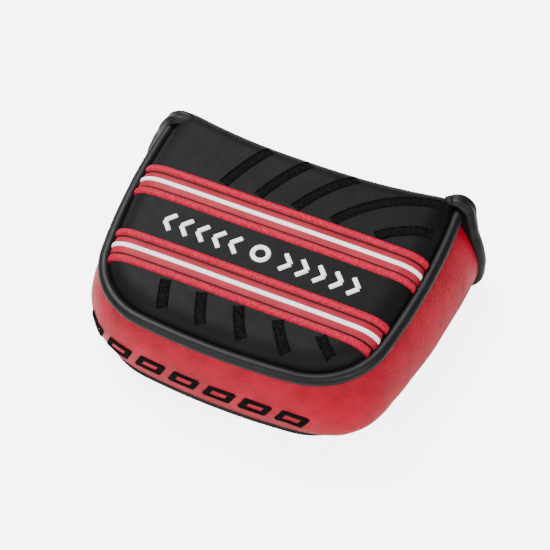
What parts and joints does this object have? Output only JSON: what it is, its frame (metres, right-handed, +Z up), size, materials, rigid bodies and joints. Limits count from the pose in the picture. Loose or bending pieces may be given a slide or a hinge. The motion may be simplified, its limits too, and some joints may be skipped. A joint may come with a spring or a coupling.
{
  "type": "putter head cover",
  "caption": "Padded mallet putter head cover with a piped top panel, embroidered bands and a two-lip magnetic mouth.",
  "frame": {"origin": "on the floor under the centre of the cover's bounding box", "axes": "+X towards the toe side along the bands, +Y towards the mouth, +Z up through the top panel"},
  "size_m": [0.1314, 0.0984, 0.0419],
  "materials": {
    "black_leather": "matte grained synthetic leather",
    "black_piping": "smooth black leather, soft sheen",
    "black_tape": "woven black binding tape",
    "black_embroidery": "raised black satin stitch",
    "red_leather": "matte grained red synthetic leather",
    "red_satin": "red satin-stitch embroidery",
    "red_strip": "smooth red leather inlay",
    "white_embroidery": "white satin-stitch embroidery",
    "grey_plush": "short charcoal plush lining",
    "foam": "soft closed-cell foam",
    "cotton_cord": "twisted cotton filler cord",
    "magnet": "nickel-plated bar magnet"
  },
  "bodies": {
    "shell": {"bottom_foam": "foam", "bottom_lining": "grey_plush", "bottom_panel": "black_leather", "bottom_piping": "black_piping", "bottom_piping_cord": "cotton_cord", "chevron_emblem": "white_embroidery", "front_band_line": "white_embroidery", "front_band_satin": "red_satin", "front_band_strip": "red_strip", "left_end_tape": "black_tape", "left_piping_tab": "black_piping", "lozenge_embroidery": "black_embroidery", "rear_band_line": "white_embroidery", "rear_band_satin": "red_satin", "rear_band_strip": "red_strip", "right_end_tape": "black_tape", "right_piping_tab": "black_piping", "ripple_embroidery": "black_embroidery", "side_foam": "foam", "side_lining": "grey_plush", "side_panel": "red_leather", "top_foam": "foam", "top_lining": "grey_plush", "top_panel": "black_leather", "top_piping": "black_piping", "top_piping_cord": "cotton_cord"},
    "upper_lip": {"upper_lip_foam": "foam", "upper_lip_lining": "grey_plush", "upper_lip_magnets": "magnet", "upper_lip_panel": "black_leather", "upper_lip_tape": "black_tape"},
    "lower_lip": {"lower_lip_foam": "foam", "lower_lip_lining": "grey_plush", "lower_lip_magnets": "magnet", "lower_lip_panel": "black_leather", "lower_lip_tape": "black_tape"}
  },
  "joints": [
    {"name": "upper_lip_fold", "type": "hinge", "parent": "shell", "child": "upper_lip", "pos_m": [0, 0.0486, 0.041], "axis": [1, 0, 0], "range_deg": [0, 115], "stiffness_Nm_per_rad": 0.006, "springref_deg": -17.19},
    {"name": "lower_lip_fold", "type": "hinge", "parent": "shell", "child": "lower_lip", "pos_m": [0, 0.0486, 0], "axis": [-1, 0, 0], "range_deg": [0, 85], "stiffness_Nm_per_rad": 0.006, "springref_deg": -17.19}
  ]
}
